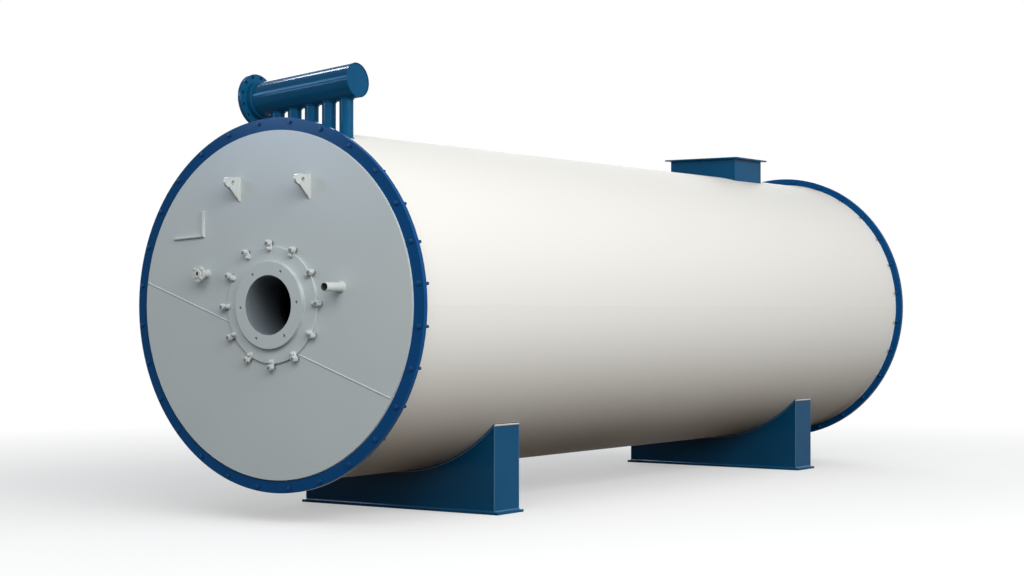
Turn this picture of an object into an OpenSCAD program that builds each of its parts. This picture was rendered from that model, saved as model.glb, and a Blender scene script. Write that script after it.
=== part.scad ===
// Horizontal fired boiler on two saddles: a cylindrical casing with bolted end covers,
// a burner opening in the front cover, an oil header on risers and a rectangular flue outlet.
// Lengths are in millimetres. X is to the right seen from the burner end, Y runs to the rear.
// The modules draw about the casing's axis, with Y = 0 on the front face of the front ring.

/* [Casing] */
// Outer diameter of the casing
shell_d = 2200; // [1900:10:2500]
// Wall of the casing
shell_wall = 10; // [6:1:16]
// Length over the two end rings
body_length = 6976; // [6000:8:8000]
// Height of the casing's lowest line above the floor
floor_gap = 255; // [200:5:500]

/* [End rings and covers] */
// Width of a ring outside the casing
ring_rise = 60; // [50:1:90]
// Thickness of one ring
ring_t = 16; // [12:1:24]
// Width of the ring that shows around a cover
ring_face = 80; // [70:1:100]
// Width of the ring behind a cover's edge
cover_lap = 60; // [40:1:90]
// Thickness of a cover plate
cover_t = 10; // [8:1:16]

/* [Burner opening] */
// Diameter of the opening
burner_bore_d = 370; // [320:5:400]
// Outer diameter of the raised flange
burner_flange_d = 540; // [520:5:580]
// Thickness of the raised flange
burner_flange_t = 30; // [20:1:40]
// Diameter of the bolt circle on the flange
burner_bolt_circle = 456; // [450:1:470]
// Diameter of a bolt hole on the flange
burner_hole_d = 18; // [14:1:22]
// Number of bolt holes on the flange
burner_holes = 6; // [4:1:8]
// Turn of the first bolt hole above the horizontal, in degrees
burner_hole_turn = 4.5; // [0:0.5:20]
// Outer diameter of the seating disc
burner_disc_d = 724; // [690:2:760]
// Thickness of the seating disc
burner_disc_t = 16; // [12:1:24]
// Number of clamps around the seating disc
clamp_count = 12; // [8:1:16]
// Turn of the first clamp above the horizontal, in degrees
clamp_turn = 1.5; // [0:0.5:20]
// Width of a clamp
clamp_w = 30; // [24:1:40]
// Reach of a clamp over the disc's edge
clamp_reach = 22; // [14:1:28]
// Length of a clamp's foot outside the disc
clamp_foot = 34; // [26:1:44]
// Thickness of a clamp's bar
clamp_t = 14; // [10:1:18]
// Length of the throat behind the front ring's face
throat_length = 315; // [250:5:400]
// Wall of the throat
throat_wall = 12; // [8:1:16]

/* [Front fittings] */
// Distance between the two lifting lugs, as a share of the cover's radius
lug_pitch_share = 0.528; // [0.4:0.004:0.6]
// Height of the lugs' lower ends above the axis, as a share of the cover's radius
lug_z_share = 0.6; // [0.5:0.01:0.65]
// Height of a lug along its weld
lug_h = 150; // [120:2:180]
// Reach of a lug in front of the cover
lug_reach = 130; // [110:2:160]
// Thickness of a lug
lug_t = 20; // [12:1:30]
// Diameter of a lug's hole
lug_hole_d = 30; // [24:1:36]
// Distance of a lug's hole in front of the cover
lug_hole_out = 62; // [50:1:80]
// Distance of a lug's hole below the lug's top
lug_hole_drop = 36; // [30:1:50]
// Radius of a lug's outer corner
lug_corner = 32; // [28:1:40]
// Place of the sight pipe to the left of the axis, as a share of the cover's radius
sight_x_share = 0.505; // [0.48:0.005:0.6]
// Height of the sight pipe above the axis, as a share of the cover's radius
sight_z_share = 0.184; // [0.1:0.002:0.24]
// Outer diameter of the sight pipe
sight_pipe_d = 45; // [40:1:60]
// Bore of the sight pipe
sight_bore_d = 35; // [26:1:36]
// Length of the sight pipe
sight_length = 92; // [60:1:120]
// Diameter of the sight flange
sight_flange_d = 104; // [96:1:130]
// Thickness of the sight flange
sight_flange_t = 14; // [10:1:20]
// Thickness of the sight glass's holder in front of the flange
sight_glass_t = 8; // [5:1:12]
// Diameter of the sight glass's holder
sight_glass_d = 56; // [48:1:60]
// Place of the probe pipe to the right of the axis, as a share of the cover's radius
probe_x_share = 0.5; // [0.48:0.005:0.6]
// Height of the probe pipe above the axis, as a share of the cover's radius
probe_z_share = 0.1; // [0.05:0.005:0.2]
// Outer diameter of the probe pipe
probe_d = 57; // [48:1:76]
// Wall of the probe pipe
probe_wall = 4; // [3:0.5:6]
// Length of the probe pipe
probe_length = 158; // [120:2:200]
// Place of the label bracket's left end to the left of the axis, as a share of the cover's radius
bracket_x_share = 0.796; // [0.7:0.004:0.8]
// Height of the label bracket's level bar above the axis, as a share of the cover's radius
bracket_z_share = 0.4; // [0.3:0.01:0.42]
// Length of the label bracket's level bar
bracket_w = 272; // [240:2:300]
// Length of the label bracket's upright bar
bracket_h = 165; // [140:1:200]
// Thickness of the label bracket's bars
bracket_bar = 15; // [10:1:20]
// Depth of the label bracket's bars
bracket_depth = 28; // [20:1:40]

/* [Header and risers] */
// Distance of the header's axis behind the front ring's face
header_y = 300; // [220:5:400]
// Height of the header's middle above the casing's top line
header_rise = 254; // [220:2:320]
// Rise of the header toward its capped end, in degrees
header_tilt = 5.5; // [0:0.5:6]
// Outer diameter of the header
header_d = 219; // [168:1:273]
// Wall of the header
header_wall = 8; // [6:0.5:12]
// Length of the header from the flange's face to the capped end
header_length = 846; // [820:2:940]
// Place of the header's middle across the boiler
header_x = 0; // [-40:2:40]
// Outer diameter of the header's flange
header_flange_d = 340; // [320:5:405]
// Thickness of the header's flange
header_flange_t = 26; // [20:1:34]
// Diameter of the bolt circle on the header's flange
header_bolt_circle = 295; // [280:1:300]
// Diameter of a bolt hole on the header's flange
header_hole_d = 22; // [18:1:26]
// Number of bolt holes on the header's flange
header_holes = 12; // [8:4:12]
// Length of the flange's neck
header_neck_l = 36; // [24:1:60]
// Thickness of the flange's neck outside the pipe
header_neck_t = 12; // [8:1:20]
// Depth of the cap's face inside the pipe's end
cap_inset = 6; // [3:1:12]
// Thickness of the cap
cap_t = 14; // [10:1:20]
// Depth of the seat that the cap has in the pipe's wall
cap_seat = 3; // [2:0.5:4]
// Outer diameter of a riser
riser_d = 89; // [60:1:108]
// Wall of a riser
riser_wall = 5; // [3:0.5:8]
// Number of risers
riser_count = 5; // [3:1:5]
// Distance between two risers, as a share of the header's length
riser_pitch = 0.1655; // [0.14:0.0005:0.18]
// Distance of the last riser's axis from the header's capped end
riser_end = 92; // [80:1:140]

/* [Flue outlet] */
// Width of the flue duct across the boiler, outside
flue_w = 608; // [500:4:700]
// Length of the flue duct along the boiler, outside
flue_l = 470; // [400:2:560]
// Distance of the flue's middle in front of the rear ring's back face
flue_back = 1278; // [900:2:1600]
// Height of the flue duct's top above the casing's top line
flue_rise = 140; // [60:2:220]
// Wall of the flue duct
flue_wall = 6; // [4:1:10]
// Overhang of the flue flange
flue_lip = 40; // [30:1:60]
// Thickness of the flue flange
flue_flange_t = 12; // [8:1:16]

/* [Saddles] */
// Distance of the front saddle's middle behind the front ring's face
front_saddle_y = 1385; // [900:5:1700]
// Distance of the rear saddle's middle in front of the rear ring's back face
rear_saddle_back = 1228; // [900:4:1600]
// Width of a saddle over its end plates, as a share of the casing's diameter
saddle_share = 0.718; // [0.66:0.002:0.76]
// Depth of a saddle's box along the boiler
saddle_depth = 281; // [220:1:340]
// Thickness of a saddle's plates
saddle_plate = 14; // [10:1:20]
// Thickness of a sole plate
sole_t = 18; // [12:1:24]
// Overhang of a sole plate past the end plates
sole_end_lip = 34; // [20:1:50]
// Overhang of a sole plate past the front and back plates
sole_side_lip = 10; // [6:1:20]
// Thickness of the pad between a saddle and the casing
pad_t = 8; // [5:1:12]
// Overhang of the pad past the box, along the boiler
pad_lip = 2; // [0:1:6]

/* [Hidden] */
$fn = 240;
// Room between round pieces that are welded one in the other
fit = 0.25;
over = 1;
big = 4000;
shell_r = shell_d / 2;
ring_r = shell_r + ring_rise;
cover_r = ring_r - ring_face;
ring_bore_r = cover_r - cover_lap;
bore_r = burner_bore_d / 2;
throat_r = bore_r + throat_wall;
axis_height = shell_r + floor_gap;
cover_face = -cover_t;
disc_face = cover_face - burner_disc_t;
flange_face = disc_face - burner_flange_t;
lug_pitch = lug_pitch_share * cover_r;
lug_z = lug_z_share * cover_r;
sight_x = -sight_x_share * cover_r;
sight_z = sight_z_share * cover_r;
probe_x = probe_x_share * cover_r;
probe_z = probe_z_share * cover_r;
probe_bore_d = probe_d - 2 * probe_wall;
bracket_x = -bracket_x_share * cover_r;
bracket_z = bracket_z_share * cover_r;
header_z = shell_r + header_rise;
flue_y = body_length - flue_back;
flue_z = shell_r + flue_rise;
flue_front = flue_y - flue_l / 2 + flue_wall;
flue_rear = flue_y + flue_l / 2 - flue_wall;
rear_saddle_y = body_length - rear_saddle_back;
saddle_w = saddle_share * shell_d;
front_most = cover_face - max(probe_length, lug_reach);
rear_most = body_length + cover_t;
middle_y = (front_most + rear_most) / 2;
header_bore_d = header_d - 2 * header_wall;
cap_d = header_bore_d + 2 * cap_seat;
cap_back = header_length - cap_inset - cap_t;
last_riser_x = header_x + header_length / 2 * cos(header_tilt) - riser_end;
riser_names = [for (i = [1:riser_count]) str("riser_", i)];
saddle_names = [for (end = ["front", "rear"]) for (piece = ["sole", "front_web", "back_web", "left_end",
    "right_end", "pad"]) str(end, "_saddle_", piece)];

// Moves a drawing from the casing's axis to the frame of the whole boiler
module placed() {
    translate([0, -middle_y, axis_height]) children();
}

// A round bar along Y from one place to another
module bar_y(d, from, to) {
    translate([0, from, 0]) rotate([-90, 0, 0]) cylinder(d = d, h = to - from);
}

// A flat ring along Y
module ring_y(outer_r, inner_r, from, to) {
    difference() {
        bar_y(2 * outer_r, from, to);
        bar_y(2 * inner_r, from - over, to + over);
    }
}

// One of the rolled courses that the casing is welded from
module shell_course(from, to) {
    color("whitesmoke") placed() ring_y(shell_r, shell_r - shell_wall, from, to);
}

// The course under the flue outlet, open at the top over its whole length
module shell_flue_course() {
    difference() {
        shell_course(flue_front, flue_rear);
        placed() translate([-flue_w / 2 + flue_wall, flue_front - over, 0])
            cube([flue_w - 2 * flue_wall, flue_rear - flue_front + 2 * over, big]);
    }
}

// The ring that is welded around the casing's end
module shell_flange(from) {
    color("royalblue") placed() ring_y(ring_r, shell_r + fit, from, from + ring_t);
}

// The ring that carries a cover and is bolted to the casing's ring
module cover_ring(from) {
    color("royalblue") placed() ring_y(ring_r, ring_bore_r, from, from + ring_t);
}

module front_cover_plate() {
    color("silver") placed() difference() {
        bar_y(2 * cover_r, cover_face, 0);
        bar_y(2 * (throat_r + fit), cover_face - over, over);
        translate([probe_x, 0, probe_z]) bar_y(probe_bore_d, cover_face - over, over);
        translate([sight_x, 0, sight_z]) bar_y(sight_bore_d, cover_face - over, over);
    }
}

module rear_cover_plate() {
    color("silver") placed() bar_y(2 * cover_r, body_length, rear_most);
}

module burner_disc() {
    color("silver") placed() ring_y(burner_disc_d / 2, bore_r, disc_face, cover_face);
}

module burner_flange() {
    color("silver") placed() difference() {
        ring_y(burner_flange_d / 2, bore_r, flange_face, disc_face);
        for (i = [0:burner_holes - 1])
            rotate([0, -burner_hole_turn - i * 360 / burner_holes, 0])
                translate([burner_bolt_circle / 2, 0, 0]) bar_y(burner_hole_d, flange_face - over, disc_face + over);
    }
}

// A foot on the cover with a bar that reaches over the edge of the seating disc
module burner_clamp() {
    translate([burner_disc_d / 2 + fit, disc_face, -clamp_w / 2]) cube([clamp_foot, burner_disc_t, clamp_w]);
    translate([burner_disc_d / 2 + fit - clamp_reach, disc_face - clamp_t, -clamp_w / 2])
        cube([clamp_foot + clamp_reach, clamp_t, clamp_w]);
}

module burner_clamps() {
    color("silver") placed() for (i = [0:clamp_count - 1]) 
        rotate([0, -clamp_turn - i * 360 / clamp_count, 0]) burner_clamp();
}

module burner_throat() {
    color("dimgray") placed() ring_y(throat_r, bore_r, cover_face, throat_length);
}

// A plate on edge with a rounded outer corner, a hole and a sloping lower edge
module lug(side) {
    color("silver") placed() translate([side * lug_pitch / 2 - lug_t / 2, cover_face, lug_z])
        rotate([90, 0, 90]) linear_extrude(lug_t) difference() {
            union() {
                polygon([[0, 0], [0, lug_h], [lug_corner - lug_reach, lug_h], [-lug_reach, lug_h - lug_corner]]);
                translate([lug_corner - lug_reach, lug_h - lug_corner]) circle(lug_corner);
            }
            translate([-lug_hole_out, lug_h - lug_hole_drop]) circle(d = lug_hole_d);
        }
}

module sight_pipe() {
    color("silver") placed() translate([sight_x, 0, sight_z])
        ring_y(sight_pipe_d / 2, sight_bore_d / 2, cover_face - sight_length, cover_face);
}

module sight_flange() {
    color("silver") placed() translate([sight_x, 0, sight_z])
        ring_y(sight_flange_d / 2, sight_pipe_d / 2 + fit, cover_face - sight_length,
            cover_face - sight_length + sight_flange_t);
}

module sight_glass() {
    color("lightgray") placed() translate([sight_x, 0, sight_z])
        bar_y(sight_glass_d, cover_face - sight_length - sight_glass_t, cover_face - sight_length);
}

module probe_pipe() {
    color("silver") placed() translate([probe_x, 0, probe_z])
        ring_y(probe_d / 2, probe_bore_d / 2, cover_face - probe_length, cover_face);
}

module label_bracket() {
    color("silver") placed() translate([bracket_x, cover_face - bracket_depth, bracket_z]) {
        cube([bracket_w, bracket_depth, bracket_bar]);
        translate([bracket_w - bracket_bar, 0, 0]) cube([bracket_bar, bracket_depth, bracket_h]);
    }
}

// Places a drawing along the header's own axis, whose X runs from the flange to the capped end
module along_header() {
    placed() translate([header_x, header_y, header_z]) rotate([0, -header_tilt, 0])
        translate([-header_length / 2, 0, 0]) children();
}

// A round bar along the header's axis
module bar_x(d, from, to) {
    translate([from, 0, 0]) rotate([0, 90, 0]) cylinder(d = d, h = to - from);
}

module header_pipe() {
    color("steelblue") along_header() difference() {
        bar_x(header_d, 0, header_length);
        bar_x(header_bore_d, -over, header_length + over);
        bar_x(cap_d, cap_back, header_length + over);
    }
}

module header_flange() {
    color("steelblue") along_header() difference() {
        union() {
            bar_x(header_flange_d, 0, header_flange_t);
            bar_x(header_d + 2 * header_neck_t, 0, header_flange_t + header_neck_l);
        }
        bar_x(header_d + 2 * fit, -over, header_flange_t + header_neck_l + over);
        for (i = [0:header_holes - 1]) rotate([(i + 0.5) * 360 / header_holes, 0, 0])
            translate([0, 0, header_bolt_circle / 2]) bar_x(header_hole_d, -over, header_flange_t + over);
    }
}

module header_cap() {
    color("steelblue") along_header()
        bar_x(cap_d - 2 * fit, cap_back, cap_back + cap_t);
}

// An upright tube from the casing to the header, cut to both
module riser(i) {
    color("steelblue") difference() {
        placed() translate([last_riser_x - (riser_count - i) * riser_pitch * header_length, header_y, 0]) difference() {
            cylinder(d = riser_d, h = header_z);
            translate([0, 0, -over]) cylinder(d = riser_d - 2 * riser_wall, h = header_z + 2 * over);
        }
        placed() bar_y(shell_d, -over, body_length);
        along_header() bar_x(header_d, -header_length, 2 * header_length);
    }
}

module flue_duct() {
    color("steelblue") placed() difference() {
        translate([-flue_w / 2, flue_y - flue_l / 2, 0]) cube([flue_w, flue_l, flue_z]);
        translate([-flue_w / 2 + flue_wall, flue_front, -over])
            cube([flue_w - 2 * flue_wall, flue_rear - flue_front, flue_z + 2 * over]);
        bar_y(shell_d, 0, body_length);
    }
}

module flue_flange() {
    color("steelblue") placed() difference() {
        translate([-flue_w / 2 - flue_lip, flue_y - flue_l / 2 - flue_lip, flue_z])
            cube([flue_w + 2 * flue_lip, flue_l + 2 * flue_lip, flue_flange_t]);
        translate([-flue_w / 2 + flue_wall, flue_front, flue_z - over])
            cube([flue_w - 2 * flue_wall, flue_rear - flue_front, flue_flange_t + 2 * over]);
    }
}

// A block of a saddle, cut by the pad that lies under the casing
module saddle_block(at, size) {
    color("steelblue") placed() difference() {
        translate(at) cube(size);
        bar_y(shell_d + 2 * pad_t, 0, body_length);
    }
}

// One piece of a saddle whose middle lies at a distance behind the front ring
module saddle(piece, y) {
    floor_z = -axis_height;
    box_z = floor_z + sole_t;
    inner_w = saddle_w - 2 * saddle_plate;
    if (piece == "sole")
        color("steelblue") placed() translate([-saddle_w / 2 - sole_end_lip, y - saddle_depth / 2 - sole_side_lip,
            floor_z]) cube([saddle_w + 2 * sole_end_lip, saddle_depth + 2 * sole_side_lip, sole_t]);
    if (piece == "front_web")
        saddle_block([-inner_w / 2, y - saddle_depth / 2, box_z], [inner_w, saddle_plate, axis_height - sole_t]);
    if (piece == "back_web")
        saddle_block([-inner_w / 2, y + saddle_depth / 2 - saddle_plate, box_z],
            [inner_w, saddle_plate, axis_height - sole_t]);
    if (piece == "left_end")
        saddle_block([-saddle_w / 2, y - saddle_depth / 2, box_z], [saddle_plate, saddle_depth, saddle_end_h()]);
    if (piece == "right_end")
        saddle_block([saddle_w / 2 - saddle_plate, y - saddle_depth / 2, box_z],
            [saddle_plate, saddle_depth, saddle_end_h()]);
    if (piece == "pad")
        color("steelblue") placed() intersection() {
            ring_y(shell_r + pad_t, shell_r, y - saddle_depth / 2 - pad_lip, y + saddle_depth / 2 + pad_lip);
            translate([-saddle_w / 2, 0, -big]) cube([saddle_w, big * 2, big]);
        }
}

// Height of an end plate from the sole plate to where its inner face meets the pad
function saddle_end_h() = axis_height - sole_t - sqrt(pow(shell_r + pad_t, 2) - pow(saddle_w / 2, 2));

shell_course(ring_t, flue_front);  // shell_front_course
shell_flue_course();
shell_course(flue_rear, body_length - ring_t);  // shell_rear_course
shell_flange(ring_t);  // front_shell_flange
cover_ring(0);  // front_cover_ring
front_cover_plate();
shell_flange(body_length - 2 * ring_t);  // rear_shell_flange
cover_ring(body_length - ring_t);  // rear_cover_ring
rear_cover_plate();
burner_disc();
burner_flange();
burner_clamps();
burner_throat();
lug(-1);  // lug_left
lug(1);  // lug_right
sight_pipe();
sight_flange();
sight_glass();
probe_pipe();
label_bracket();
header_pipe();
header_flange();
header_cap();
flue_duct();
flue_flange();
for (i = [1:riser_count]) riser(i);
for (end = [["front", front_saddle_y], ["rear", rear_saddle_y]])
    for (piece = ["sole", "front_web", "back_web", "left_end", "right_end", "pad"])
        saddle(piece, end[1]);
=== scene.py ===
import math

import bmesh
import bpy
from mathutils import Matrix, Vector


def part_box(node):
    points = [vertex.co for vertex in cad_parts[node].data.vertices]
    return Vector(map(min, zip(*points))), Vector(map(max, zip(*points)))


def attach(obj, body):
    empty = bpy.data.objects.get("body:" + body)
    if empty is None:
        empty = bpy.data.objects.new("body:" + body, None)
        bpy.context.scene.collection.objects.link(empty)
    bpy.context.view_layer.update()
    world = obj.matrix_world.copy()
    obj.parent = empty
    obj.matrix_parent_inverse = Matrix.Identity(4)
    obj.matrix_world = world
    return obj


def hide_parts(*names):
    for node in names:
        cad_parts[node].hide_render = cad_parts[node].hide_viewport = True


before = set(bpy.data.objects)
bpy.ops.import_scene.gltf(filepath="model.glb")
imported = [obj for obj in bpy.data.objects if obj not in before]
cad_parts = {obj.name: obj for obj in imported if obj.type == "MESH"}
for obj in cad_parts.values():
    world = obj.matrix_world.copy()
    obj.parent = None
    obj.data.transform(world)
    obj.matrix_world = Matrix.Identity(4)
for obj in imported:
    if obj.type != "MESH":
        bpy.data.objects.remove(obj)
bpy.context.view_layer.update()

# Camera
# It stands in front of the burner end and to its right, at the height of the casing's axis,
# and looks along the casing. Places are taken from the middle of the front ring's face.
ring_low, ring_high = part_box("front_cover_ring")
axis_z = (ring_low.z + ring_high.z) / 2
camera_from_ring = Vector((8.107, -9.256, -0.036))
camera_azimuth = math.radians(34.354)
camera_elevation = math.radians(-0.667)
camera_data = bpy.data.cameras.new("boiler_camera")
camera_data.sensor_fit = "HORIZONTAL"
camera_data.sensor_width = 36.0
camera_data.lens = 69.54
camera_data.clip_end = 200.0
camera = bpy.data.objects.new("boiler_camera", camera_data)
bpy.context.scene.collection.objects.link(camera)
camera.location = Vector((0, ring_low.y, axis_z)) + camera_from_ring
looking = Vector((-math.sin(camera_azimuth) * math.cos(camera_elevation),
                  math.cos(camera_azimuth) * math.cos(camera_elevation),
                  -math.sin(camera_elevation)))
camera.rotation_euler = looking.to_track_quat("-Z", "Y").to_euler()
bpy.context.scene.camera = camera
bpy.context.scene.view_settings.view_transform = "Standard"


# Floor, backdrop and light
# A pale studio floor in a white room. A wall of light stands to the right of the casing, with
# weaker panels in front, behind and above. Three more light nothing and only show in the gloss
# of the blue paint, as the sky would: two along the header and one on top of the front ring.
def linear(colour):
    """A colour written as sRGB hex, in linear light."""
    parts = [int(colour[i:i + 2], 16) / 255 for i in (1, 3, 5)]
    return tuple(c / 12.92 if c <= 0.04045 else ((c + 0.055) / 1.055) ** 2.4 for c in parts) + (1.0,)


def add_node(tree, kind, settings=(), links=()):
    """Adds a node, sets its properties or input values by name, and links (input, node, output)."""
    node = tree.nodes.new(kind)
    for key, value in dict(settings).items():
        if isinstance(key, str) and hasattr(node, key):
            setattr(node, key, value)
        else:
            node.inputs[key].default_value = value
    for socket, source, output in links:
        tree.links.new(source.outputs[output], node.inputs[socket])
    return node


def new_paint(name):
    """A material with an empty tree, and that tree."""
    material = bpy.data.materials.new(name)
    material.use_nodes = True
    material.node_tree.nodes.clear()
    return material, material.node_tree


world = bpy.data.worlds.new("studio_room")
world.use_nodes = True
world.node_tree.nodes.clear()
bpy.context.scene.world = world
floor_paint, floor_tree = new_paint("matt white studio floor")

# The eye, the gloss and the glass see the room as white, and the other rays see its real light.
shown_in = []
for tree in (world.node_tree, floor_tree):
    rays = add_node(tree, "ShaderNodeLightPath")
    seen = add_node(tree, "ShaderNodeMath", {"operation": "MAXIMUM"},
                    [(0, rays, "Is Camera Ray"), (1, rays, "Is Glossy Ray")])
    shown_in.append(add_node(tree, "ShaderNodeMath", {"operation": "MAXIMUM"},
                             [(0, seen, 0), (1, rays, "Is Transmission Ray")]))
room_shown, floor_shown = shown_in

room_white = linear("#FFFFFF")
room_fill = linear("#C9CED4")
room_fill_strength = 0.45
tree = world.node_tree
fill = add_node(tree, "ShaderNodeBackground", {"Color": room_fill, "Strength": room_fill_strength})
white = add_node(tree, "ShaderNodeBackground", {"Color": room_white, "Strength": 1.0})
room = add_node(tree, "ShaderNodeMixShader", {}, [(0, room_shown, 0), (1, fill, 0), (2, white, 0)])
add_node(tree, "ShaderNodeOutputWorld", {}, [("Surface", room, 0)])

# Matt paint with no gloss: it keeps a soft shadow close by and fades into the white room far off.
# It throws back little light, as a brown yard floor would, so the casing's underside stays in shade.
shadow_near = 3.0
shadow_far = 9.0
glow_near = 0.4
floor_colour = add_node(floor_tree, "ShaderNodeMix", {"data_type": "RGBA"}, [(0, floor_shown, 0)])
floor_colour.inputs[6].default_value = linear("#33281A")
floor_colour.inputs[7].default_value = linear("#FAFAF9")
place = add_node(floor_tree, "ShaderNodeNewGeometry")
away = add_node(floor_tree, "ShaderNodeVectorMath", {"operation": "LENGTH"}, [(0, place, "Position")])
fade = add_node(floor_tree, "ShaderNodeMapRange",
                {"From Min": shadow_near, "From Max": shadow_far, "To Min": glow_near, "To Max": 1.0},
                [("Value", away, "Value")])
far = add_node(floor_tree, "ShaderNodeMath", {"operation": "MULTIPLY"},
               [(0, fade, 0), (1, floor_shown, 0)])
matt = add_node(floor_tree, "ShaderNodeBsdfDiffuse", {}, [("Color", floor_colour, 2)])
glow = add_node(floor_tree, "ShaderNodeEmission", {"Color": room_white, "Strength": 1.0})
surface = add_node(floor_tree, "ShaderNodeMixShader", {}, [(0, far, 0), (1, matt, 0), (2, glow, 0)])
add_node(floor_tree, "ShaderNodeOutputMaterial", {}, [("Surface", surface, 0)])

floor_half = 60.0
floor_corners = [(x * floor_half, y * floor_half, 0) for x, y in ((-1, -1), (1, -1), (1, 1), (-1, 1))]
floor_mesh = bpy.data.meshes.new("studio_floor")
floor_mesh.from_pydata(floor_corners, [], [(0, 1, 2, 3)])
floor_mesh.materials.append(floor_paint)
floor = bpy.data.objects.new("studio_floor", floor_mesh)
bpy.context.scene.collection.objects.link(floor)

lamps = [("overhead_panel", (0.5, 0.0, 9.4), (0.0, 0.0, 1.3), 8.0, 11.0, 30.0, "#FFFFFF"),
         ("right_wall_of_light", (14.0, -2.4, 7.5), (0.0, -0.1, 1.3), 18.0, 7.5, 2110.0, "#FFFFFF"),
         ("front_panel", (5.0, -11.5, 7.0), (0.0, -3.4, 1.3), 8.0, 6.0, 580.0, "#FFFFFF"),
         ("rear_panel", (-9.0, 13.0, 6.0), (0.0, 1.0, 1.3), 12.0, 8.0, 750.0, "#FFFFFF"),
         ("header_side_gloss", (-5.97, -9.19, 5.59), (0.0, -3.1, 2.7), 2.4, 1.7, 480.0, "#8DC0FF"),
         ("header_top_gloss", (-5.6, -2.2, 9.06), (0.0, -3.1, 2.7), 1.4, 1.2, 290.0, "#E4EEFF"),
         ("ring_top_gloss", (-2.45, -6.4, 3.05), (0.0, -3.4, 2.5), 0.9, 0.4, 32.0, "#B4D3FF")]
for name, place, aim, width, depth, power, colour in lamps:
    lamp_data = bpy.data.lights.new(name, "AREA")
    lamp_data.color = linear(colour)[:3]
    lamp_data.shape = "RECTANGLE"
    lamp_data.size = width
    lamp_data.size_y = depth
    lamp_data.energy = power
    lamp = bpy.data.objects.new(name, lamp_data)
    bpy.context.scene.collection.objects.link(lamp)
    lamp.location = place
    lamp.visible_camera = False
    lamp.visible_diffuse = not name.endswith("gloss")
    lamp.rotation_euler = (Vector(aim) - Vector(place)).to_track_quat("-Z", "Y").to_euler()


# Casing
# Three courses rolled from steel plate, welded end to end and painted satin off-white. Rolled
# plate is never quite even, so its surface wavers a little, and the lower half is painted darker
# and browner, partly as dust and partly as painted shade.
def dress(node_names, material, bevel_mm=0.0):
    """Gives CAD nodes a material, and breaks their sharp edges as a grinder would."""
    for node_name in node_names:
        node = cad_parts[node_name]
        node.data.materials.clear()
        node.data.materials.append(material)
        if bevel_mm:
            join = node.modifiers.new("joined_corners", "WELD")
            join.merge_threshold = 0.00002
            edge = node.modifiers.new("broken_edge", "BEVEL")
            edge.limit_method = "ANGLE"
            edge.angle_limit = math.radians(40)
            edge.width = bevel_mm / 1000
            edge.segments = 2
            edge.use_clamp_overlap = True
            level = node.modifiers.new("flat_faces", "WEIGHTED_NORMAL")
            level.keep_sharp = False
            level.weight = 80


def line_inside(node_name, material, is_inside):
    """Gives the inner faces of a CAD node their own material."""
    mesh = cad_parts[node_name].data
    mesh.materials.append(material)
    for face in mesh.polygons:
        if is_inside(face.center):
            face.material_index = 1


def from_axis(point):
    """How far a point lies from the casing's axis."""
    return math.hypot(point.x, point.z - axis_z)


def mottled(tree, patch_mm, detail, dark, light, spread=0.5):
    """A colour that drifts between two tones in patches of a real size."""
    place = add_node(tree, "ShaderNodeTexCoord")
    patches = add_node(tree, "ShaderNodeTexNoise",
                       {"Scale": 1000 / patch_mm, "Detail": detail, "Roughness": spread},
                       [("Vector", place, "Object")])
    tone = add_node(tree, "ShaderNodeMix", {"data_type": "RGBA"}, [(0, patches, 0)])
    tone.inputs[6].default_value = linear(dark)
    tone.inputs[7].default_value = linear(light)
    return tone


# Satin paint: a soft sheen with no clear reflections, darker and browner towards the bottom, which
# is partly dust and partly painted shade. Its specular level is below that of real paint, since the
# white room would wash the colour out. The grain of the paint is drawn coarser than it is, so that
# it shows.
plate_wave_mm = 420.0
plate_wave_depth = 0.004
dust_patch_mm = 1400.0
dust_and_shade_drop = 1.1
dust_and_shade_gather = 2.4
paint_grain_mm = 26.0
paint_grain_depth = 0.0006
casing_enamel, tree = new_paint("satin off-white paint on rolled steel plate")
place = add_node(tree, "ShaderNodeTexCoord")
height = add_node(tree, "ShaderNodeSeparateXYZ", {}, [(0, place, "Object")])
# Dust and painted shade: from the axis down, the colour turns darker and browner, in patches.
dust_and_shade_height = add_node(tree, "ShaderNodeMapRange",
                       {"From Min": axis_z, "From Max": axis_z - dust_and_shade_drop}, [("Value", height, "Z")])
dust_and_shade_settled = add_node(tree, "ShaderNodeMath", {"operation": "POWER", 1: dust_and_shade_gather},
                        [(0, dust_and_shade_height, 0)])
patches = add_node(tree, "ShaderNodeTexNoise", {"Scale": 1000 / dust_patch_mm, "Detail": 4.0},
                   [("Vector", place, "Object")])
uneven = add_node(tree, "ShaderNodeMapRange", {"To Min": 0.7, "To Max": 1.0}, [("Value", patches, 0)])
dust_and_shade = add_node(tree, "ShaderNodeMath", {"operation": "MULTIPLY"},
                [(0, dust_and_shade_settled, 0), (1, uneven, 0)])
dust_and_shade_film = add_node(tree, "ShaderNodeMix", {"data_type": "RGBA"}, [(0, dust_and_shade, 0)])
dust_and_shade_film.inputs[6].default_value = linear("#E1DFD9")
dust_and_shade_film.inputs[7].default_value = linear("#9A8468")
waves = add_node(tree, "ShaderNodeTexNoise", {"Scale": 1000 / plate_wave_mm, "Detail": 1.0},
                 [("Vector", place, "Object")])
peel = add_node(tree, "ShaderNodeTexNoise", {"Scale": 1000 / paint_grain_mm, "Detail": 2.0},
                [("Vector", place, "Object")])
wavy = add_node(tree, "ShaderNodeBump", {"Strength": 0.35, "Distance": plate_wave_depth},
                [("Height", waves, 0)])
skin = add_node(tree, "ShaderNodeBump", {"Strength": 0.12, "Distance": paint_grain_depth},
                [("Height", peel, 0), ("Normal", wavy, 0)])
sheen = add_node(tree, "ShaderNodeMapRange", {"To Min": 0.4, "To Max": 0.52}, [("Value", patches, 0)])
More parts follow.
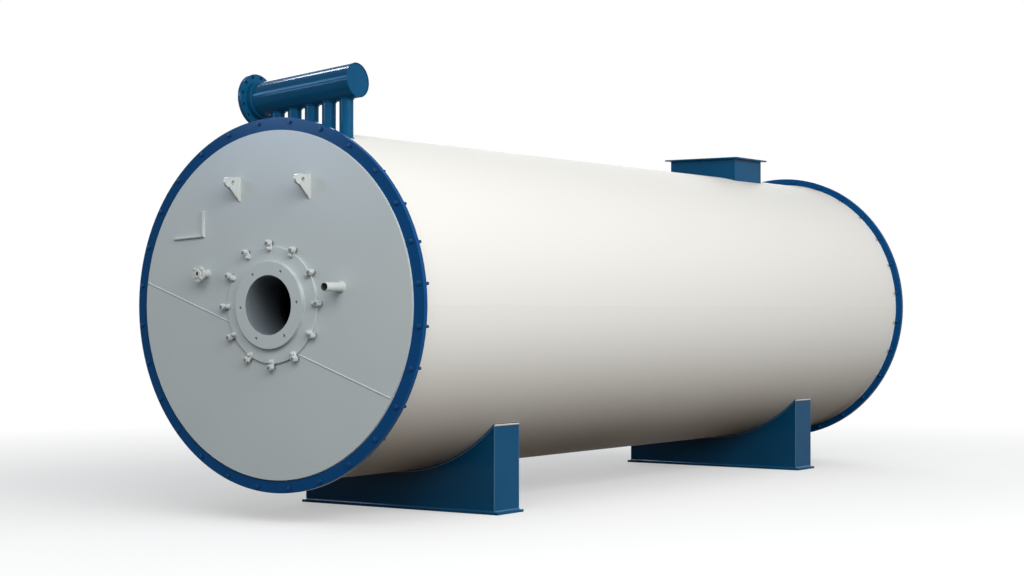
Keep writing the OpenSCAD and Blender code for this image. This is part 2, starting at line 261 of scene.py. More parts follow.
surface = add_node(tree, "ShaderNodeBsdfPrincipled", {"IOR": 1.5, "Specular IOR Level": 0.02},
                   [("Base Color", dust_and_shade_film, 2), ("Normal", skin, 0), ("Roughness", sheen, 0)])
add_node(tree, "ShaderNodeOutputMaterial", {}, [("Surface", surface, 0)])

# Soot on brick: almost black and quite dull, with faint grey patches.
soot_patch_mm = 160.0
furnace_soot, tree = new_paint("sooted refractory lining")
tone = mottled(tree, soot_patch_mm, 6.0, "#0B0C0E", "#1B1D20")
surface = add_node(tree, "ShaderNodeBsdfPrincipled", {"Roughness": 0.95, "Specular IOR Level": 0.1},
                   [("Base Color", tone, 2)])
add_node(tree, "ShaderNodeOutputMaterial", {}, [("Surface", surface, 0)])

courses = ["shell_front_course", "shell_flue_course", "shell_rear_course"]
dress(courses, casing_enamel)
shell_low, shell_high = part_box("shell_front_course")
shell_r = (shell_high.x - shell_low.x) / 2
lining_r = shell_r - 0.004
for course in courses:
    line_inside(course, furnace_soot, lambda p: from_axis(p) < lining_r)


# End rings
# Four flat rings cut from thick plate and painted royal blue: one is welded around each end of
# the casing, and one carries each cover. The paint is glossy, with a slight brush texture.

# Gloss enamel: a deep, even blue with sharp small highlights on its edges and brush marks, which
# are drawn coarser than real ones to show. The specular level is low, as on the casing.
ring_tone_mm = 240.0
ring_brush_mm = 14.0
ring_brush_depth = 0.0008
ring_enamel, tree = new_paint("royal blue gloss enamel on steel plate")
tone = mottled(tree, ring_tone_mm, 5.0, "#044478", "#074A80")
place = add_node(tree, "ShaderNodeTexCoord")
brush = add_node(tree, "ShaderNodeTexNoise", {"Scale": 1000 / ring_brush_mm, "Detail": 3.0},
                 [("Vector", place, "Object")])
rounded = add_node(tree, "ShaderNodeBevel", {"samples": 4, "Radius": 0.0015})
strokes = add_node(tree, "ShaderNodeBump", {"Strength": 0.15, "Distance": ring_brush_depth},
                   [("Height", brush, 0), ("Normal", rounded, 0)])
surface = add_node(tree, "ShaderNodeBsdfPrincipled",
                   {"Roughness": 0.2, "IOR": 1.5, "Specular IOR Level": 0.05},
                   [("Base Color", tone, 2), ("Normal", strokes, 0)])
add_node(tree, "ShaderNodeOutputMaterial", {}, [("Surface", surface, 0)])
dress(["front_shell_flange", "front_cover_ring", "rear_shell_flange", "rear_cover_ring"], ring_enamel, 2.0)


# Ring bolts
# Hexagon bolts around each pair of rings, with a washer under the head and a nut behind. They
# are steel, painted over in a darker navy blue.
def wrap(bm, rows, capped=True):
    """Faces between rows of corners, with a cap on both ends of a capped form."""
    count = len(rows[0])
    for lower, upper in zip(rows, rows[1:]):
        for i in range(count):
            j = (i + 1) % count
            bm.faces.new((lower[i], lower[j], upper[j], upper[i]))
    if capped:
        bm.faces.new(list(reversed(rows[0])))
        bm.faces.new(rows[-1])


def hexagon(bm, place, across, height, chamfer=0.95, segments=24):
    """A hexagon head or nut standing on the XY plane of place, with its top corners turned off."""
    apothem = across / 2
    rows = [[], [], []]
    for i in range(segments):
        angle = 2 * math.pi * i / segments
        off_flat = (angle + math.pi / 6) % (math.pi / 3) - math.pi / 6
        reach = apothem / math.cos(off_flat)
        drop = max(0.0, reach - apothem * chamfer) * math.tan(math.radians(30))
        turn = Vector((math.cos(angle), math.sin(angle), 0))
        rows[0].append(bm.verts.new(place @ (turn * reach)))
        rows[1].append(bm.verts.new(place @ (turn * reach + Vector((0, 0, height - drop)))))
        rows[2].append(bm.verts.new(place @ (turn * apothem * chamfer * 0.98 + Vector((0, 0, height)))))
    wrap(bm, rows)


def turned(bm, place, profile, segments=24, closed=False):
    """A turned form about the Z axis of place, through (radius, height) points from bottom to top."""
    rows = []
    for radius, height in profile:
        angles = [2 * math.pi * i / segments for i in range(segments)]
        rows.append([bm.verts.new(place @ Vector((radius * math.cos(a), radius * math.sin(a), height)))
                     for a in angles])
    wrap(bm, rows + rows[:1] if closed else rows, not closed)


def threaded(bm, place, radius, length, pitch=0.0035):
    """The end of a stud standing on the XY plane of place, with thread ridges and a broken edge."""
    turns = int(length / pitch)
    profile = []
    for i in range(turns):
        profile += [(radius * 0.9, i * pitch), (radius, (i + 0.5) * pitch)]
    profile += [(radius * 0.9, turns * pitch), (radius * 0.75, length)]
    turned(bm, place, profile, 16)


def add_piece(name, bm, material, sharp_deg=35.0):
    """Makes a piece of the boiler from a mesh, shades it and fixes it to the boiler."""
    bmesh.ops.recalc_face_normals(bm, faces=bm.faces)
    mesh = bpy.data.meshes.new(name)
    bm.to_mesh(mesh)
    bm.free()
    mesh.materials.append(material)
    mesh.shade_smooth()
    mesh.set_sharp_from_angle(angle=math.radians(sharp_deg))
    piece = bpy.data.objects.new(name, mesh)
    bpy.context.scene.collection.objects.link(piece)
    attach(piece, "root")
    return piece


def facing(direction):
    """A turn that brings the Z axis to a direction."""
    return direction.to_track_quat("Z", "X").to_matrix().to_4x4()


# Brushed-on paint: dark blue dots with a small glint on their upper edges.
bolt_tone_mm = 30.0
bolt_enamel, tree = new_paint("navy paint on bolt steel")
tone = mottled(tree, bolt_tone_mm, 4.0, "#083C6C", "#0C4678")
surface = add_node(tree, "ShaderNodeBsdfPrincipled", {"Roughness": 0.3, "Specular IOR Level": 0.12},
                   [("Base Color", tone, 2)])
add_node(tree, "ShaderNodeOutputMaterial", {}, [("Surface", surface, 0)])

ring_bolt_count = 28
ring_bolt_across = 0.024
ring_bolt_head = 0.010
ring_bolt_r = 0.010
ring_bolt_twist = 1.7
ring_washer_r = 0.0145
ring_washer_t = 0.0025
ring_nut_height = 0.013
front_bolt_tail = 0.036
rear_bolt_tail = 0.012
bolt_circle_r = (ring_high.x - ring_low.x) / 2 - 0.028
rear_ring_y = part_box("rear_cover_ring")[1].y
front_flange_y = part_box("front_shell_flange")[1].y
rear_flange_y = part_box("rear_shell_flange")[0].y
on_washer = Matrix.Translation((0, 0, ring_washer_t))
on_nut = Matrix.Translation((0, 0, ring_washer_t + ring_nut_height))
for end, head_y, nut_y, outward, bolt_tail in (
        ("front", ring_low.y, front_flange_y, Vector((0, -1, 0)), front_bolt_tail),
        ("rear", rear_ring_y, rear_flange_y, Vector((0, 1, 0)), rear_bolt_tail)):
    heads = bmesh.new()
    nuts = bmesh.new()
    for i in range(ring_bolt_count):
        angle = 2 * math.pi * (i + 0.5) / ring_bolt_count + math.pi / 2
        spot = Vector((bolt_circle_r * math.cos(angle), 0, axis_z + bolt_circle_r * math.sin(angle)))
        twist = Matrix.Rotation(i * ring_bolt_twist, 4, "Z")
        place = Matrix.Translation(spot + Vector((0, head_y, 0))) @ facing(outward) @ twist
        turned(heads, place, [(ring_washer_r, 0), (ring_washer_r, ring_washer_t * 0.7),
                              (ring_washer_r * 0.95, ring_washer_t)])
        hexagon(heads, place @ on_washer, ring_bolt_across, ring_bolt_head)
        place = Matrix.Translation(spot + Vector((0, nut_y, 0))) @ facing(-outward) @ twist
        turned(nuts, place, [(ring_washer_r, 0), (ring_washer_r, ring_washer_t)])
        hexagon(nuts, place @ on_washer, ring_bolt_across, ring_nut_height)
        threaded(nuts, place @ on_nut, ring_bolt_r, bolt_tail)
    add_piece(end + "_ring_bolt_heads", heads, bolt_enamel)
    add_piece(end + "_ring_nuts", nuts, bolt_enamel)


# Welds of the casing's rings
# A fillet weld runs around the casing behind each of its rings. It is laid by hand in short
# steps, so its surface is rippled, and it is painted with the casing.
def bead(bm, points, radius, closed=False, sides=8, ripple=0.0):
    """A weld bead along points, with a ripple from one point to the next."""
    count = len(points)
    rows = []
    for i, point in enumerate(points):
        before = points[i - 1] if closed or i else point
        after = points[(i + 1) % count] if closed or i + 1 < count else point
        along = (after - before).normalized()
        side = along.orthogonal() if not rows else (last_side - along * last_side.dot(along))
        side.normalize()
        last_side = side
        up = along.cross(side)
        size = radius * (1 - ripple * (i % 2))
        turns = [2 * math.pi * k / sides for k in range(sides)]
        rows.append([bm.verts.new(point + side * size * math.cos(t) + up * size * math.sin(t))
                     for t in turns])
    if closed:
        best = min(range(sides), key=lambda s: (rows[-1][0].co - rows[0][s].co).length)
        rows.append(rows[0][best:] + rows[0][:best])
    wrap(bm, rows, not closed)


def round_path(middle, first, second, radius, step):
    """Points around a circle in the plane of two directions, one weld step apart."""
    count = max(24, int(2 * math.pi * radius / step))
    count += count % 2
    turns = [2 * math.pi * i / count for i in range(count)]
    return [middle + (first * math.cos(t) + second * math.sin(t)) * radius for t in turns]


right = Vector((1, 0, 0))
back = Vector((0, 1, 0))
top = Vector((0, 0, 1))
weld_step = 0.012
weld_off_wall = 0.001
weld_crease_deg = 60.0
ring_weld_r = 0.004
welds = bmesh.new()
for y in (front_flange_y, rear_flange_y):
    path = round_path(Vector((0, y, axis_z)), right, top, shell_r + weld_off_wall, weld_step)
    bead(welds, path, ring_weld_r, closed=True, ripple=0.12)
add_piece("casing_ring_welds", welds, casing_enamel, weld_crease_deg)


# Covers
# Round plates with satin grey paint, welded on the cover rings. The front one is made of two
# plates butt-welded along a slanting seam, and the weld's cap stands a little proud.

# Satin paint: cool grey with a broad, soft sheen and a faint cloudiness from the roller, whose
# grain is drawn coarser than it is to show.
cover_tone_mm = 700.0
cover_brush_mm = 40.0
cover_brush_depth = 0.0012
cover_enamel, tree = new_paint("satin grey paint on steel plate")
tone = mottled(tree, cover_tone_mm, 6.0, "#BCC5C6", "#C8D0D0", 0.62)
place = add_node(tree, "ShaderNodeTexCoord")
grain = add_node(tree, "ShaderNodeTexNoise", {"Scale": 1000 / cover_brush_mm, "Detail": 4.0},
                 [("Vector", place, "Object")])
rounded = add_node(tree, "ShaderNodeBevel", {"samples": 4, "Radius": 0.003})
skin = add_node(tree, "ShaderNodeBump", {"Strength": 0.12, "Distance": cover_brush_depth},
                [("Height", grain, 0), ("Normal", rounded, 0)])
surface = add_node(tree, "ShaderNodeBsdfPrincipled",
                   {"Roughness": 0.36, "IOR": 1.5, "Specular IOR Level": 0.35},
                   [("Base Color", tone, 2), ("Normal", skin, 0)])
add_node(tree, "ShaderNodeOutputMaterial", {}, [("Surface", surface, 0)])
dress(["front_cover_plate", "rear_cover_plate"], cover_enamel, 1.5)

cover_low, cover_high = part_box("front_cover_plate")
cover_r = (cover_high.x - cover_low.x) / 2
cover_y = cover_low.y
rear_cover_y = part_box("rear_cover_plate")[1].y
disc_low, disc_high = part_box("burner_disc")
disc_r = (disc_high.x - disc_low.x) / 2
seam_weld_r = 0.0065
seam_sunk = 0.002
seam_step = weld_step * 0.5
seam_outer_r = cover_r - 0.004
seam_inner_r = disc_r - 0.003
seam_slope = math.radians(-19.4)
seam_at_axis = -0.230
seam_along = Vector((math.cos(seam_slope), 0, math.sin(seam_slope)))
seam_middle = Vector((0, cover_y + seam_sunk, axis_z + seam_at_axis))
seam = bmesh.new()
for direction in (-1, 1):
    steps = range(1, int(2 * cover_r / seam_step))
    run = [seam_middle + seam_along * (direction * i * seam_step) for i in steps]
    bead(seam, [p for p in run if seam_inner_r < from_axis(p) < seam_outer_r], seam_weld_r, ripple=0.15)
add_piece("front_cover_seam", seam, cover_enamel, weld_crease_deg)

rear_seam_drop = 0.2
rear_reach = math.sqrt(seam_outer_r ** 2 - rear_seam_drop ** 2)
rear_start = Vector((-rear_reach, rear_cover_y - seam_sunk, axis_z - rear_seam_drop))
rear_seam = bmesh.new()
bead(rear_seam, [rear_start + right * (i * seam_step) for i in range(int(2 * rear_reach / seam_step))],
     seam_weld_r, ripple=0.15)
add_piece("rear_cover_seam", rear_seam, cover_enamel, weld_crease_deg)

cover_weld_r = 0.0025
edge_welds = bmesh.new()
for y in (ring_low.y, rear_ring_y):
    path = round_path(Vector((0, y, axis_z)), right, top, cover_r, weld_step)
    bead(edge_welds, path, cover_weld_r, closed=True, ripple=0.1)
add_piece("cover_edge_welds", edge_welds, cover_enamel, weld_crease_deg)


# Burner opening
# A turned seating disc and a raised flange around the opening, in the cover's grey. The throat
# behind is a plain steel tube, darkened by heat and with shade painted deeper in.
dress(["burner_disc"], cover_enamel, 3.0)
dress(["burner_flange"], cover_enamel)
flange_low, flange_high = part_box("burner_flange")
flange_r = (flange_high.x - flange_low.x) / 2
flange_weld_r = 0.0025
flange_weld = bmesh.new()
bead(flange_weld, round_path(Vector((0, flange_high.y, axis_z)), right, top, flange_r, weld_step),
     flange_weld_r, closed=True, ripple=0.06)
add_piece("burner_flange_weld", flange_weld, cover_enamel, weld_crease_deg)

# Steel with heat scale: blue-grey at the mouth, darker further in, which is partly heat scale and
# partly painted shade, and sooted beyond a clear line.
throat_scale_mm = 90.0
throat_depth = 0.4
scale_and_shade_line = 0.8
soot_line = 0.82
throat_steel, tree = new_paint("heat-darkened mild steel with painted shade")
place = add_node(tree, "ShaderNodeTexCoord")
depth = add_node(tree, "ShaderNodeSeparateXYZ", {}, [(0, place, "Object")])
scale = add_node(tree, "ShaderNodeTexNoise", {"Scale": 1000 / throat_scale_mm, "Detail": 6.0},
                 [("Vector", place, "Object")])
inward = add_node(tree, "ShaderNodeMapRange",
                  {"From Min": flange_low.y, "From Max": flange_low.y + throat_depth},
                  [("Value", depth, "Y")])
# Painted shade with heat scale: the colour darkens from the mouth inward.
shade = add_node(tree, "ShaderNodeValToRGB", {}, [(0, inward, 0)])
shade.color_ramp.elements[0].color = linear("#7C858C")
shade.color_ramp.elements[1].color = linear("#0B0C0E")
shade.color_ramp.elements[1].position = soot_line
shade.color_ramp.elements.new(scale_and_shade_line).color = linear("#30363C")
rough = add_node(tree, "ShaderNodeMapRange", {"To Min": 0.45, "To Max": 0.7}, [("Value", scale, 0)])
surface = add_node(tree, "ShaderNodeBsdfPrincipled", {"Specular IOR Level": 0.3},
                   [("Base Color", shade, 0), ("Roughness", rough, 0)])
add_node(tree, "ShaderNodeOutputMaterial", {}, [("Surface", surface, 0)])
dress(["burner_throat"], throat_steel)
bore_r = min(from_axis(v.co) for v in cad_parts["burner_flange"].data.vertices) + 0.002
for node_name in ("burner_flange", "burner_disc"):
    line_inside(node_name, throat_steel, lambda p: from_axis(p) < bore_r)


# Burner clamps
# A dozen studs on the cover around the seating disc, each with a short dog that presses on the
# disc's edge, a washer, a hexagon nut and a set screw. They are steel, in a paler coat of grey.

# Gloss paint: almost white against the cover, with crisp small highlights on the corners.
pale_tone_mm = 120.0
pale_enamel, tree = new_paint("pale grey gloss paint on steel")
tone = mottled(tree, pale_tone_mm, 5.0, "#C6CBC8", "#D0D5D2")
rounded = add_node(tree, "ShaderNodeBevel", {"samples": 4, "Radius": 0.0015})
surface = add_node(tree, "ShaderNodeBsdfPrincipled",
                   {"Roughness": 0.3, "IOR": 1.5, "Specular IOR Level": 0.35},
                   [("Base Color", tone, 2), ("Normal", rounded, 0)])
add_node(tree, "ShaderNodeOutputMaterial", {}, [("Surface", surface, 0)])

clamp_count = 12
clamp_turn = math.radians(1.5)
stud_out = 0.022
stud_r = 0.0095
stud_nut_across = 0.034
stud_nut_height = 0.018
stud_nut_twist = 0.9
stud_tail = 0.009
washer_r = 0.0215
washer_t = 0.004
screw_in = -0.013
screw_across = 0.022
screw_height = 0.014
screw_twist = 1.3
screw_tail_r = screw_across * 0.28
screw_tail = 0.005
dog_half_w = 0.016
dog_inner = -0.028
dog_outer = 0.042
dog_t = 0.014
dog_end_steps = 8
sleeve_r = 0.0125
disc_t = disc_high.y - disc_low.y
dog_middle = Vector(((dog_inner + dog_outer) / 2, 0))
dog_outline = []
for bend_x, first_turn in ((dog_outer - dog_half_w, math.pi / 2), (dog_inner + dog_half_w, -math.pi / 2)):
    for k in range(dog_end_steps + 1):
        turn = first_turn - math.pi * k / dog_end_steps
        dog_outline.append(Vector((bend_x + dog_half_w * math.cos(turn), dog_half_w * math.sin(turn))))
clamps = bmesh.new()
studs = bmesh.new()
for i in range(clamp_count):
    angle = clamp_turn + 2 * math.pi * i / clamp_count
    outward = Vector((math.cos(angle), 0, math.sin(angle)))
    across = Vector((-math.sin(angle), 0, math.cos(angle)))
    place = Matrix((
        (outward.x, across.x, 0, outward.x * disc_r),
        (outward.y, across.y, -1, cover_y),
        (outward.z, across.z, 0, axis_z + outward.z * disc_r),
        (0, 0, 0, 1)))
    turned(studs, place @ Matrix.Translation((stud_out, 0, 0)),
           [(sleeve_r * 1.15, 0), (sleeve_r, disc_t * 0.3), (sleeve_r, disc_t)])
    rows = []
    for level, inset in ((disc_t, 1.0), (disc_t + dog_t * 0.8, 1.0), (disc_t + dog_t, 0.9)):
        corners = [dog_middle.lerp(corner, inset) for corner in dog_outline]
        rows.append([clamps.verts.new(place @ Vector((c.x, c.y, level))) for c in corners])
    wrap(clamps, rows)
    seat = place @ Matrix.Translation((stud_out, 0, disc_t + dog_t))
    turned(clamps, seat, [(washer_r, 0), (washer_r, washer_t * 0.75), (washer_r * 0.95, washer_t)])
    twist = Matrix.Rotation(i * stud_nut_twist, 4, "Z")
    hexagon(clamps, seat @ Matrix.Translation((0, 0, washer_t)) @ twist, stud_nut_across, stud_nut_height)
    threaded(studs, seat @ Matrix.Translation((0, 0, washer_t + stud_nut_height)), stud_r, stud_tail)
    seat = place @ Matrix.Translation((screw_in, 0, disc_t + dog_t))
    hexagon(clamps, seat @ Matrix.Rotation(i * screw_twist, 4, "Z"), screw_across, screw_height)
    turned(clamps, seat @ Matrix.Translation((0, 0, screw_height)),
           [(screw_tail_r, 0), (screw_tail_r, screw_tail)])
clamp_piece = add_piece("burner_clamp_set", clamps, pale_enamel)
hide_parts("burner_clamps")

# Bare steel under a film of oil: dark grey, half metallic, dull in the threads.
oil_patch_mm = 12.0
stud_steel, tree = new_paint("oiled bare steel stud")
tone = mottled(tree, oil_patch_mm, 4.0, "#4E5253", "#7C8182")
surface = add_node(tree, "ShaderNodeBsdfPrincipled", {"Metallic": 0.5, "Roughness": 0.5},
                   [("Base Color", tone, 2)])
add_node(tree, "ShaderNodeOutputMaterial", {}, [("Surface", surface, 0)])
add_piece("burner_clamp_studs", studs, stud_steel)


# Lifting lugs
# Two thick plates on edge, flame-cut with a rounded corner and a drilled hole. Each is welded to
# the front cover along both its sides and has the clamps' pale grey paint.
def line_path(start, end, step):
    """Points along a straight line, about one weld step apart."""
    count = max(2, int((end - start).length / step))
    return [start.lerp(end, i / count) for i in range(count + 1)]


lugs = ["lug_left", "lug_right"]
dress(lugs, pale_enamel)
lug_weld_r = 0.007
lug_weld_step = weld_step * 0.7
lug_welds = bmesh.new()
for lug in lugs:
    low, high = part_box(lug)
    for x in (low.x, high.x):
        path = line_path(Vector((x, cover_y, low.z)), Vector((x, cover_y, high.z)), lug_weld_step)
        bead(lug_welds, path, lug_weld_r, ripple=0.15)
add_piece("lug_welds", lug_welds, pale_enamel, weld_crease_deg)


# Sight pipe
# A short pipe with a small flange that holds a round sight glass under a ring with four screws.
# The pipe is welded to the cover and painted the same pale grey.
dress(["sight_pipe", "sight_flange"], pale_enamel)
sight_low, sight_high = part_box("sight_flange")
sight_x = (sight_low.x + sight_high.x) / 2
sight_z = (sight_low.z + sight_high.z) / 2
holder_low, holder_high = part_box("sight_glass")
holder_r = (holder_high.x - holder_low.x) / 2
holder_t = holder_high.y - holder_low.y
pane_r = holder_r * 0.42
pipe_low, pipe_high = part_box("sight_pipe")
pipe_r = (pipe_high.x - pipe_low.x) / 2
sight_screw_count = 4
sight_screw_circle_r = 0.040
sight_screw_across = 0.013
sight_screw_height = 0.007
sight_weld_r = 0.006
sight_weld_step = 0.006
glass_seat = Matrix.Translation((sight_x, holder_high.y, sight_z)) @ facing(-back)
fittings = bmesh.new()
turned(fittings, glass_seat, [(pane_r, 0), (holder_r, 0), (holder_r, holder_t * 0.75),
                              (holder_r * 0.93, holder_t), (pane_r * 1.15, holder_t),
                              (pane_r, holder_t * 0.75)], 48, True)
for i in range(sight_screw_count):
    angle = 2 * math.pi * (i + 0.5) / sight_screw_count
    spot = Vector((sight_x + sight_screw_circle_r * math.cos(angle), sight_low.y,
                   sight_z + sight_screw_circle_r * math.sin(angle)))
    hexagon(fittings, Matrix.Translation(spot) @ facing(-back), sight_screw_across, sight_screw_height)
path = round_path(Vector((sight_x, cover_y, sight_z)), right, top, pipe_r + weld_off_wall, sight_weld_step)
bead(fittings, path, sight_weld_r, closed=True, ripple=0.1)
add_piece("sight_holder_ring", fittings, pale_enamel)

# Thick glass, a little smoked inside: a dark round with a clear reflection and a trace of haze.
glass_haze_mm = 18.0
sight_glass_look, tree = new_paint("thick sight glass")
place = add_node(tree, "ShaderNodeTexCoord")
smoke = add_node(tree, "ShaderNodeTexNoise", {"Scale": 1000 / glass_haze_mm, "Detail": 3.0},
                 [("Vector", place, "Object")])
haze = add_node(tree, "ShaderNodeMapRange", {"To Min": 0.04, "To Max": 0.14}, [("Value", smoke, 0)])
surface = add_node(tree, "ShaderNodeBsdfPrincipled",
                   {"Base Color": linear("#2A2E30"), "IOR": 1.5, "Transmission Weight": 0.35},
                   [("Roughness", haze, 0)])
add_node(tree, "ShaderNodeOutputMaterial", {}, [("Surface", surface, 0)])
pane = bmesh.new()
turned(pane, glass_seat, [(pane_r * 1.02, 0), (pane_r * 1.02, holder_t * 0.55)], 48)
pane_piece = add_piece("sight_glass_pane", pane, sight_glass_look)
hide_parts("sight_glass")


# Probe pipe
# An open length of pipe on the front cover, with a neat weld around its foot. It is painted pale
# grey outside, and its bore is bare steel.
dress(["probe_pipe"], pale_enamel)
probe_low, probe_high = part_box("probe_pipe")
probe_middle = Vector(((probe_low.x + probe_high.x) / 2, cover_y, (probe_low.z + probe_high.z) / 2))
probe_r = (probe_high.x - probe_low.x) / 2
probe_bore_r = probe_r - 0.003
probe_weld_r = 0.007
probe_weld_step = 0.008
line_inside("probe_pipe", stud_steel,
            lambda p: math.hypot(p.x - probe_middle.x, p.z - probe_middle.z) < probe_bore_r)
probe_weld = bmesh.new()
bead(probe_weld, round_path(probe_middle, right, top, probe_r + weld_off_wall, probe_weld_step),
     probe_weld_r, closed=True, ripple=0.1)
add_piece("probe_pipe_weld", probe_weld, pale_enamel, weld_crease_deg)


# Label bracket
# Two flat bars on edge that meet in an L, sawn from steel bar and welded to the cover along their
# feet, with the same pale grey paint. The lower bar is set by eye and hangs a little at its end.
bar_t = 0.013
bar_depth = 0.018
bar_edge = 0.002
bar_weld_r = 0.004
bar_weld_step = 0.009
foot_inset = 0.035
foot_hang = 0.014
corner_out = 0.015
bracket_low, bracket_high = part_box("label_bracket")
foot_start = Vector((bracket_low.x + foot_inset, cover_y, bracket_low.z - foot_hang))
bracket_corner = Vector((bracket_high.x + corner_out, cover_y, bracket_low.z))
upright_end = Vector((bracket_corner.x, cover_y, bracket_high.z))
bars = bmesh.new()
bracket_welds = bmesh.new()
for start, end in ((foot_start, bracket_corner), (bracket_corner, upright_end)):
    along = (end - start).normalized()
    side = Vector((-along.z, 0, along.x))
    rows = []
    for out, inset in ((0.0, 0.0), (bar_depth - bar_edge, 0.0), (bar_depth, bar_edge)):
        near = side * inset - back * out
        far = side * (bar_t - inset) - back * out
        left = start + along * inset
        tip = end - along * inset
        rows.append([bars.verts.new(p) for p in (left + near, tip + near, tip + far, left + far)])
    wrap(bars, rows)
    bead(bracket_welds, line_path(start, end, bar_weld_step), bar_weld_r, ripple=0.15)
bracket_piece = add_piece("label_bracket_bars", bars, pale_enamel)
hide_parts("label_bracket")
add_piece("bracket_welds", bracket_welds, pale_enamel, weld_crease_deg)


# Header
# A steel pipe along the top of the front ring, with a weld-neck flange at its left end and a flat
# cap let into the other. It is painted teal blue and rises toward the capped end.

# Gloss enamel: a deep teal that mirrors bright things as narrow lines, broken by brush marks, which
# are drawn coarser than real ones to show. The specular level is low, as on the casing.
fitting_tone_mm = 300.0
fitting_brush_mm = 18.0
fitting_brush_depth = 0.001
fitting_enamel, tree = new_paint("teal blue gloss enamel on steel")
tone = mottled(tree, fitting_tone_mm, 5.0, "#09466B", "#105177")
place = add_node(tree, "ShaderNodeTexCoord")
brush = add_node(tree, "ShaderNodeTexNoise", {"Scale": 1000 / fitting_brush_mm, "Detail": 3.0},
                 [("Vector", place, "Object")])
rounded = add_node(tree, "ShaderNodeBevel", {"samples": 4, "Radius": 0.002})
strokes = add_node(tree, "ShaderNodeBump", {"Strength": 0.16, "Distance": fitting_brush_depth},
                   [("Height", brush, 0), ("Normal", rounded, 0)])
surface = add_node(tree, "ShaderNodeBsdfPrincipled",
                   {"Roughness": 0.13, "IOR": 1.5, "Specular IOR Level": 0.045},
                   [("Base Color", tone, 2), ("Normal", strokes, 0)])
add_node(tree, "ShaderNodeOutputMaterial", {}, [("Surface", surface, 0)])
risers = sorted(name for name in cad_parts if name.startswith("riser_"))
dress(risers, fitting_enamel)
dress(["header_pipe", "header_flange"], fitting_enamel, 2.5)
dress(["header_cap"], fitting_enamel, 1.0)
header_tilt = math.radians(5.5)
header_r = 0.1095
header_length = 0.846
header_neck_end = 0.062
header_cap_depth = 0.012
header_bore_r = header_r - 0.004
header_along = Vector((math.cos(header_tilt), 0, math.sin(header_tilt)))
header_up = Vector((-math.sin(header_tilt), 0, math.cos(header_tilt)))
header_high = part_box("header_pipe")[1]
cap_low, cap_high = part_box("header_cap")
cap_middle = (cap_low + cap_high) / 2
cap_to_end = (header_high.x - header_r * math.sin(header_tilt) - cap_middle.x) / math.cos(header_tilt)
header_end = cap_middle + header_along * cap_to_end
header_face = header_end - header_along * header_length


def inside_header(point):
    """Whether a point lies within the header's bore, ahead of its cap."""
    from_face = point - header_face
    along = from_face.dot(header_along)
    off_line = (from_face - header_along * along).length
    return off_line < header_bore_r and along < header_length - header_cap_depth


def laid_on(points, radius, side):
    """Points brought onto a cylinder about the casing's axis, on top (1) or underneath (-1)."""
    return [Vector((p.x, p.y, axis_z + side * math.sqrt(radius ** 2 - p.x ** 2))) for p in points]


for node_name in ("header_pipe", "header_flange"):
    line_inside(node_name, bolt_enamel, inside_header)
header_weld_step = 0.008
neck_weld_r = 0.004
cap_weld_r = 0.0025
cap_weld_in = 0.008
cap_weld_circle_r = header_r - 0.010
riser_weld_r = 0.006
riser_weld_step = 0.009
header_welds = bmesh.new()
for middle, circle_r, weld_r in (
        (header_face + header_along * header_neck_end, header_r, neck_weld_r),
        (header_end - header_along * cap_weld_in, cap_weld_circle_r, cap_weld_r)):
    bead(header_welds, round_path(middle, back, header_up, circle_r, header_weld_step), weld_r,
         closed=True, ripple=0.12)
for name in risers:
    low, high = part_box(name)
    riser_r = (high.x - low.x) / 2
    middle = Vector(((low.x + high.x) / 2, (low.y + high.y) / 2, 0))
    ring = round_path(middle, right, back, riser_r + weld_off_wall, riser_weld_step)
    bead(header_welds, laid_on(ring, shell_r, 1), riser_weld_r, closed=True, ripple=0.12)
    head = []
    for p in ring:
        across = p.x - header_face.x
        below = math.sqrt(header_r ** 2 - (p.y - header_face.y) ** 2)
        rise = (across * math.sin(header_tilt) - below) / math.cos(header_tilt)
        head.append(Vector((p.x, p.y, header_face.z + rise)))
    bead(header_welds, head, riser_weld_r, closed=True, ripple=0.12)
add_piece("header_welds", header_welds, fitting_enamel, weld_crease_deg)


# Flue outlet
# A rectangular duct of steel sheet on the casing's top near the rear, welded at its corners and
# foot, with a flat flange to take the chimney's duct. It has the header's teal paint.
dress(["flue_duct", "flue_flange"], fitting_enamel, 1.5)
duct_low, duct_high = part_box("flue_duct")
half_wall = 0.003
line_inside("flue_duct", furnace_soot, lambda p: abs(p.x) < duct_high.x - half_wall
            and duct_low.y + half_wall < p.y < duct_high.y - half_wall)
flue_weld_step = 0.01
flue_foot_weld_r = 0.006
flue_top_weld_r = 0.005
flue_corner_weld_r = 0.003
duct_foot = axis_z + math.sqrt(shell_r ** 2 - duct_high.x ** 2)
flue_welds = bmesh.new()
for y in (duct_low.y, duct_high.y):
    path = line_path(Vector((duct_low.x, y, duct_high.z)), Vector((duct_high.x, y, duct_high.z)),
                     flue_weld_step)
    bead(flue_welds, laid_on(path, shell_r, 1), flue_foot_weld_r, ripple=0.12)
    bead(flue_welds, path, flue_top_weld_r, ripple=0.12)
for x in (duct_low.x, duct_high.x):
    for z, weld_r in ((duct_foot, flue_foot_weld_r), (duct_high.z, flue_top_weld_r)):
        path = line_path(Vector((x, duct_low.y, z)), Vector((x, duct_high.y, z)), flue_weld_step)
        bead(flue_welds, path, weld_r, ripple=0.12)
    for y in (duct_low.y, duct_high.y):
        path = line_path(Vector((x, y, duct_foot)), Vector((x, y, duct_high.z)), flue_weld_step)
        bead(flue_welds, path, flue_corner_weld_r, ripple=0.1)
add_piece("flue_welds", flue_welds, fitting_enamel, weld_crease_deg)


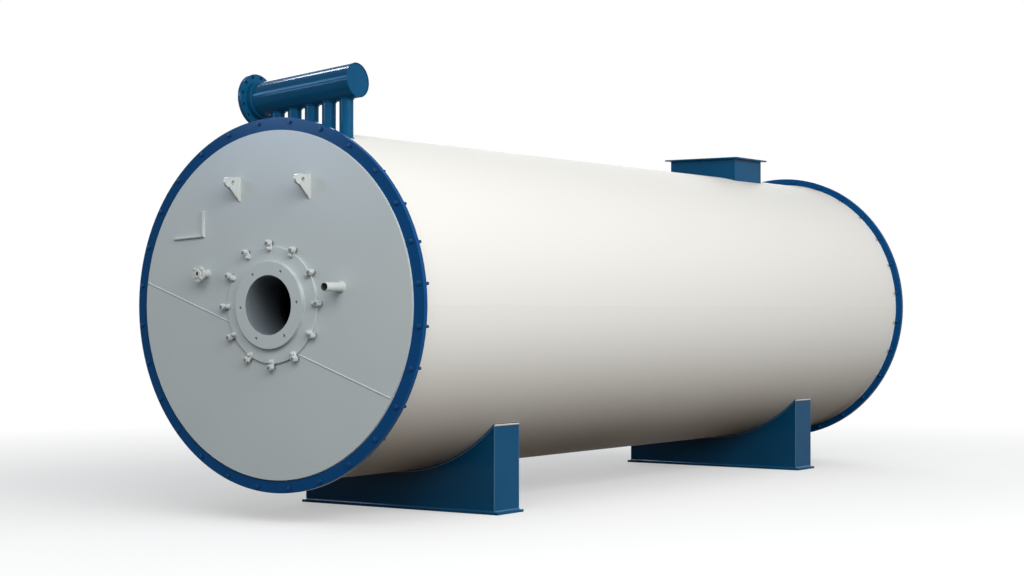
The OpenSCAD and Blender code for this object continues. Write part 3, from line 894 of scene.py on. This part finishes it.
# Saddles
# Two boxes of thick plate under the casing, each on a sole plate that lies on the floor, with a
# pad between the box and the casing. Every joint has a fillet weld, and the pad's ends show pale.
saddle_nodes = [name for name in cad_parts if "_saddle_" in name]
dress(saddle_nodes, fitting_enamel, 2.0)

# Enamel over ripples: a lighter teal than the saddles, which is a painted highlight, and the gloss of
# real enamel, so the corners show as thin bright lines.
weld_tone_mm = 60.0
weld_enamel, tree = new_paint("teal blue gloss enamel on weld beads")
tone = mottled(tree, weld_tone_mm, 3.0, "#0F5078", "#1A5E88")
surface = add_node(tree, "ShaderNodeBsdfPrincipled",
                   {"Roughness": 0.2, "IOR": 1.5, "Specular IOR Level": 0.5}, [("Base Color", tone, 2)])
add_node(tree, "ShaderNodeOutputMaterial", {}, [("Surface", surface, 0)])

web_foot_weld_r = 0.009
end_foot_weld_r = 0.010
pad_weld_r = 0.006
corner_weld_r = 0.004
pad_edge_r = 0.007
saddle_welds = bmesh.new()
pad_edges = bmesh.new()
for end in ("front", "rear"):
    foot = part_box(end + "_saddle_sole")[1].z
    box_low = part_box(end + "_saddle_left_end")[0]
    box_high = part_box(end + "_saddle_right_end")[1]
    y_front = min(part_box(end + "_saddle_front_web")[0].y, box_low.y)
    y_back = max(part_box(end + "_saddle_back_web")[1].y, box_high.y)
    pad_r = axis_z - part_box(end + "_saddle_pad")[0].z
    for y in (y_front, y_back):
        path = line_path(Vector((box_low.x, y, foot)), Vector((box_high.x, y, foot)), weld_step)
        bead(saddle_welds, path, web_foot_weld_r, ripple=0.12)
        bead(saddle_welds, laid_on(path, pad_r, -1), pad_weld_r, ripple=0.12)
    for x in (box_low.x, box_high.x):
        head = axis_z - math.sqrt(pad_r ** 2 - x ** 2)
        path = line_path(Vector((x, y_front, foot)), Vector((x, y_back, foot)), weld_step)
        bead(saddle_welds, path, end_foot_weld_r, ripple=0.12)
        for y in (y_front, y_back):
            path = line_path(Vector((x, y, foot)), Vector((x, y, head)), weld_step)
            bead(saddle_welds, path, corner_weld_r, ripple=0.1)
        path = line_path(Vector((x, y_front, head)), Vector((x, y_back, head)), weld_step)
        bead(pad_edges, path, pad_edge_r, ripple=0.1)
add_piece("saddle_welds", saddle_welds, weld_enamel, weld_crease_deg)
add_piece("saddle_pad_edges", pad_edges, casing_enamel, weld_crease_deg)
